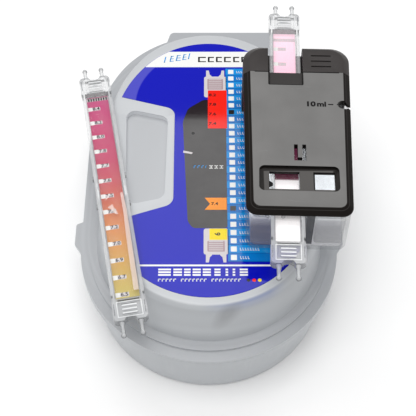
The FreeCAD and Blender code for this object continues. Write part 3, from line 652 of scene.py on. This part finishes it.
def printed_comparator(art):
    """The label's middle drawing: a dark comparator with its two slide ends and colour flags."""
    outline = [(-11.4, 20.0), (-8.7, -33.0), (-6.6, -36.3), (7.6, -36.3), (7.6, 32.2), (-2.4, 32.6),
               (-9.2, 27.4)]
    art.plate(outline, *layer(1), comparator_ink, 1.2)
    printed_slide_end(art, 2.9, 34.0, 46.4, side=1, clear_of=38.6)
    printed_slide_end(art, 2.9, -36.5, -49.0, side=-1, clear_of=-42.5)
    low, high = layer(3)
    art.bar(-0.4, 8.0, 16.1, 38.1, low, high, red_ink)
    art.plate([(-1.7, -21.1), (7.4, -21.1), (7.4, -27.2), (-1.7, -27.2), (0.5, -24.2)], low, high,
              orange_ink)
    art.bar(0.2, 7.4, -42.0, -36.5, low, high, yellow_ink)
    low, high = layer(4)
    for figure, y in (("8.2", 35.3), ("7.8", 29.8), ("7.6", 24.2), ("7.4", 18.8)):
        art.words(figure, 1.6, y, 2.1, low, high - low, black_ink, stretch=1.3, weight=0.06)
    art.words("7.4", 2.4, -24.2, 2.0, low, high - low, black_ink, stretch=1.2, weight=0.05)
    art.words("6", 3.6, -39.2, 3.2, low, high - low, black_ink, turn=math.pi / 2, weight=0.08)
    art.disc(-6.8, 13.3, 0.75, low, high, black_ink)
    art.plate([(-11.0, 2.6), (-7.2, 1.9), (-6.9, 2.8), (-10.9, 3.8)], low, high, pearl_ink, 0.3)
    for x, width in ((-6.4, 0.9), (-4.8, 1.0), (-3.1, 0.9), (-1.5, 0.5)):
        art.bar(x, x + width, -4.6, -4.2, low, high, pale_sky_ink)
        art.bar(x, x + 0.3, -5.6, -4.2, low, high, pale_sky_ink)
    for x in (0.2, 2.4, 4.6):
        art.bar(x, x + 1.5, -4.6, -4.2, low, high, white_ink)
        art.bar(x + 0.6, x + 1.0, -5.8, -4.2, low, high, white_ink)
        art.bar(x, x + 1.5, -5.9, -5.5, low, high, white_ink)


def tick_table(art):
    """Column of blue rows, each with a box to tick and a run of short strokes for a name."""
    pitch = (TABLE_TOP - TABLE_BOTTOM) / ROWS
    name_lengths = (2.6, 4.2, 3.4, 5.0, 2.2, 4.6, 3.0)
    box_inks = {6: black_ink, 19: charcoal_ink}  # the rest are white
    names_left = TABLE_LEFT + 4.9
    for row in range(ROWS):
        top = TABLE_TOP - row * pitch
        low, high = layer(2)
        row_ink = sky_ink if row % 2 else pale_sky_ink
        art.bar(TABLE_LEFT, TABLE_RIGHT, top - pitch + 0.22, top, low, high, row_ink)
        art.bar(TABLE_LEFT, TABLE_RIGHT, top - pitch, top - pitch + 0.24, low, high, navy_ink)
        low, high = layer(3)
        art.bar(TABLE_LEFT + 1.2, TABLE_LEFT + 3.6, top - pitch * 0.80, top - pitch * 0.18, low, high,
                box_inks.get(row, white_ink), 0.2)
        foot = top - pitch * 0.68
        letter = names_left
        while letter < names_left + name_lengths[row % len(name_lengths)] * 1.6:
            art.bar(letter, letter + 0.62, foot, top - pitch * 0.58, low, high, white_ink)
            art.bar(letter, letter + 0.22, foot, top - pitch * 0.34, low, high, white_ink)
            letter += 1.02


def foot_marks(art):
    """White rule, a row of broad blocks, a row of small ones and three colour dots."""
    low, high = layer(2)
    art.bar(-28.6, 24.7, -54.5, -53.7, low, high, white_ink)
    for x, width in ((-20.0, 5.0), (-14.0, 3.4), (-9.8, 2.6), (-6.4, 3.2), (-2.4, 3.2), (2.2, 2.4),
                     (6.6, 1.0), (9.4, 1.0), (12.2, 3.2)):
        for step in range(3):
            art.bar(x, x + width, -58.9 + step * 1.25, -58.1 + step * 1.25, low, high, white_ink)
    word_gaps = (5, 13)
    for letter in range(22):
        if letter not in word_gaps:
            x = -20.0 + letter * 1.5
            art.bar(x, x + 1.1, -60.6, -60.2, low, high, white_ink)
            art.bar(x, x + 0.4, -61.5, -60.2, low, high, white_ink)
    for x, dot in ((15.6, black_ink), (17.8, red_ink), (20.0, yellow_ink)):
        art.disc(x, -60.9, 0.75, low, high, dot)


label_art = Build("label_print", "lid", "printed_label")
title_band(label_art)
printed_comparator(label_art)
tick_table(label_art)
foot_marks(label_art)
label_art.finish()

# ---------------------------------------------------------------- figures on the slides
FIGURES = ("8.4", "8.2", "8.0", "7.8", "7.7", "7.6", "7.5", "7.4", "7.2", "7.0", "6.9", "6.7", "6.5")
GRIP_INNER, GRIP_OUTER = 8.3, 1.4  # reach of a grip panel, measured from the slide's end


def slide_marks(name, body, place, scale_node, first, pitch, figures, header, ink_colour):
    """Pale blocks with a figure each along a scale, and a header row of fine strokes."""
    marks = Build(name, body, "scale_print", place)
    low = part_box(scale_node)[1].z / MM
    for number, figure in enumerate(figures):
        y = first - number * pitch
        marks.bar(-4.6, -2.8, y - 1.05, y + 1.05, low, low + 0.02, white_ink, 0.2)
        marks.bar(-2.8, 0.7, y - 0.95, y + 0.95, low, low + 0.012, pearl_ink, 0.2)
        marks.words(figure, -1.1, y, 2.3, low + 0.01, 0.03, ink_colour, stretch=1.1, weight=0.05)
    marks.bar(-4.6, 4.6, header - 0.9, header + 0.9, low, low + 0.010, pearl_ink)
    for stroke in range(8):
        x = -4.1 + stroke * 1.1
        marks.bar(x, x + 0.65, header - 0.85, header + 0.75, low + 0.008, low + 0.03, ink_colour)
    marks.finish()


slide_marks("spare_scale_figures", "spare_slide", SPARE, "spare_slide_scale",
            first=45.9, pitch=7.97, figures=FIGURES, header=51.3, ink_colour=black_ink)


def head_gleams(name, body, place, tray, body_half):
    """Painted highlights and painted shade as bright and dark edge lines round both heads of a slide, with
    painted highlight lines between the grip ribs.
    """
    gleams = Build(name, body, "slide_clear", place)
    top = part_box(tray)[1].z / MM
    skin = top - 0.05, top + 0.03
    for end in (-1, 1):
        low, high = sorted((end * (body_half - GRIP_INNER), end * (body_half - GRIP_OUTER)))
        for x in (-4.9, 4.6):
            gleams.bar(x, x + 0.3, low, high, *skin, glint)
        for y in (low, high - 0.3):
            gleams.bar(-4.6, 4.6, y, y + 0.3, *skin, glint)
        for x in (-6.1, 5.8):
            gleams.bar(x, x + 0.3, low + 1.0, high - 0.6, *skin, shade)
        for row in range(3):
            y = low + 1.5 + row * 1.7
            gleams.bar(-2.9, 2.9, y, y + 0.55, *skin, glint, 0.2)
    gleams.finish()


def slide_gleams():
    """Painted reflections as thin pale lines in the lens of the spare slide, and painted highlights as bright
    spots at its middle clips.
    """
    lens_reflections = Build("spare_lens_painted_reflections", "spare_slide", "lens_clear", SPARE)
    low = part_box("spare_slide_lens")[1].z / MM - 0.01
    skin = low, low + 0.05
    lens_reflections.plate([(2.6, -50), (4.6, -50), (5.0, -12), (4.4, -3), (3.4, -3), (3.4, -14), (3.0, -24)],
                  *skin, gleam, 0.3)
    lens_reflections.plate([(-2.6, -9.5), (-0.6, -8.2), (1.4, -13.6), (0.0, -13.2), (-1.0, -11.0)], *skin, gleam, 0.2)
    lens_reflections.plate([(-3.4, -6.2), (-2.6, -4.8), (-1.2, -2.2), (-1.6, -4.6)], *skin, gleam, 0.2)
    for x in (-5.9, 5.3):
        lens_reflections.bar(x, x + 0.7, -4.4, 0.4, *skin, glint, 0.25)
        lens_reflections.bar(x, x + 0.6, 1.6, 3.0, *skin, glint, 0.2)
    lens_reflections.finish()


slide_gleams()
head_gleams("spare_head_gleams", "spare_slide", SPARE, "spare_slide_tray", body_half=62.5)
head_gleams("test_head_gleams", "test_slide", TEST_SLIDE, "test_slide_tray", body_half=65.0)
slide_marks("test_scale_figures", "test_slide", TEST_SLIDE, "test_slide_scale",
            first=46.0, pitch=8.8, figures=("0.1", "0.2"), header=51.4, ink_colour=pale_rose)


# ---------------------------------------------------------------- comparator details
def comparator_marks():
    """Raised fill mark with its dash, the cap's seam as thin dark lines, and a dark plate under the index at
    the left window as painted shade in its pit.
    """
    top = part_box("tester_cover")[1].z / MM
    marks = Build("fill_mark", "tester", "cover_black", TESTER)
    marks.words("10", 5.3, 7.1, 3.5, top - 0.02, 0.12, mark_black, stretch=1.2, weight=0.13)
    marks.words("ml", 9.8, 7.1, 3.4, top - 0.02, 0.12, mark_black, stretch=1.15, weight=0.13)
    marks.bar(12.5, 14.6, 6.9, 7.35, top - 0.02, top + 0.1, mark_black)
    line = top - 0.02, top + 0.02, mark_black
    marks.bar(-17.6, -11.6, 24.45, 24.8, *line)
    marks.bar(2.4, 17.8, 24.45, 24.8, *line)
    marks.bar(-11.6, 2.4, 17.4, 17.7, *line)
    for x in (-11.65, 2.15):
        marks.bar(x, x + 0.3, 17.4, 24.6, *line)
    # Painted shade: a dark plate under the index cut.
    marks.plate([(-11.9, -31.4), (-11.9, -34.6), (-10.3, -33.6), (-10.3, -32.6)], top - 1.6, top - 1.1,
                mark_black, 0.2)
    marks.finish()


comparator_marks()


def snap_pips():
    """Two clear snap pips under the front edge of the cover."""
    pips = Build("snap_pips", "tester", "chamber_clear", TESTER)
    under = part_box("tester_cover")[0].z / MM
    for x in (-12.4, -6.4):
        shape = bmesh.new()
        bmesh.ops.create_uvsphere(shape, u_segments=20, v_segments=12, radius=0.85 * MM)
        bmesh.ops.scale(shape, vec=(1, 0.8, 1), verts=shape.verts)
        bmesh.ops.translate(shape, vec=mm(x, -46.6, under - 1.1), verts=shape.verts)
        pips.take(shape, chamber_clear, smooth=True)
    pips.finish()


snap_pips()


# ---------------------------------------------------------------- stage, light and camera
def softbox(name, place, target, size, power):
    """A rectangular light aimed at a point."""
    light = bpy.data.lights.new(name, "AREA")
    light.shape = "RECTANGLE"
    light.size, light.size_y = size
    light.energy = power
    lamp = linked(name, light)
    lamp.location = place
    lamp.rotation_euler = (Vector(target) - Vector(place)).to_track_quat("-Z", "Y").to_euler()


def stage_and_light():
    """Pale floor, a long softbox behind, a broad one overhead and a bright surround."""
    bpy.ops.mesh.primitive_plane_add(size=6, location=(0, 0, -0.0001))
    floor = bpy.context.object
    floor.name = "studio_floor"
    white = Finish("studio_white")
    white.set(Base_Color=(0.88, 0.88, 0.88, 1), Roughness=0.9, Specular_IOR_Level=0.1,
              Emission_Color=(1, 1, 1, 1), Emission_Strength=0.10)
    floor.data.materials.append(white.material)
    softbox("rear_softbox", (0.0, 0.515, 0.835), target=(0, -0.46, 0.04), size=(0.9, 0.27), power=2.5)
    softbox("top_softbox", (-0.15, -0.1, 1.1), target=(0, 0, 0), size=(0.8, 0.8), power=6.2)
    world = bpy.data.worlds.new("studio_surround")
    world.use_nodes = True
    background = world.node_tree.nodes["Background"]
    background.inputs["Color"].default_value = (1, 1, 1, 1)
    background.inputs["Strength"].default_value = 0.50
    bpy.context.scene.world = world
    bpy.context.scene.view_settings.view_transform = "Standard"


def camera():
    lens = bpy.data.cameras.new("studio_camera")
    lens.lens = 87.86
    lens.sensor_width = 36
    eye = linked("studio_camera", lens)
    eye.location = mm(-0.34, -266.39, 383.78)
    eye.rotation_euler = (math.radians(90 - 55), 0, 0)
    bpy.context.scene.camera = eye


stage_and_light()
camera()
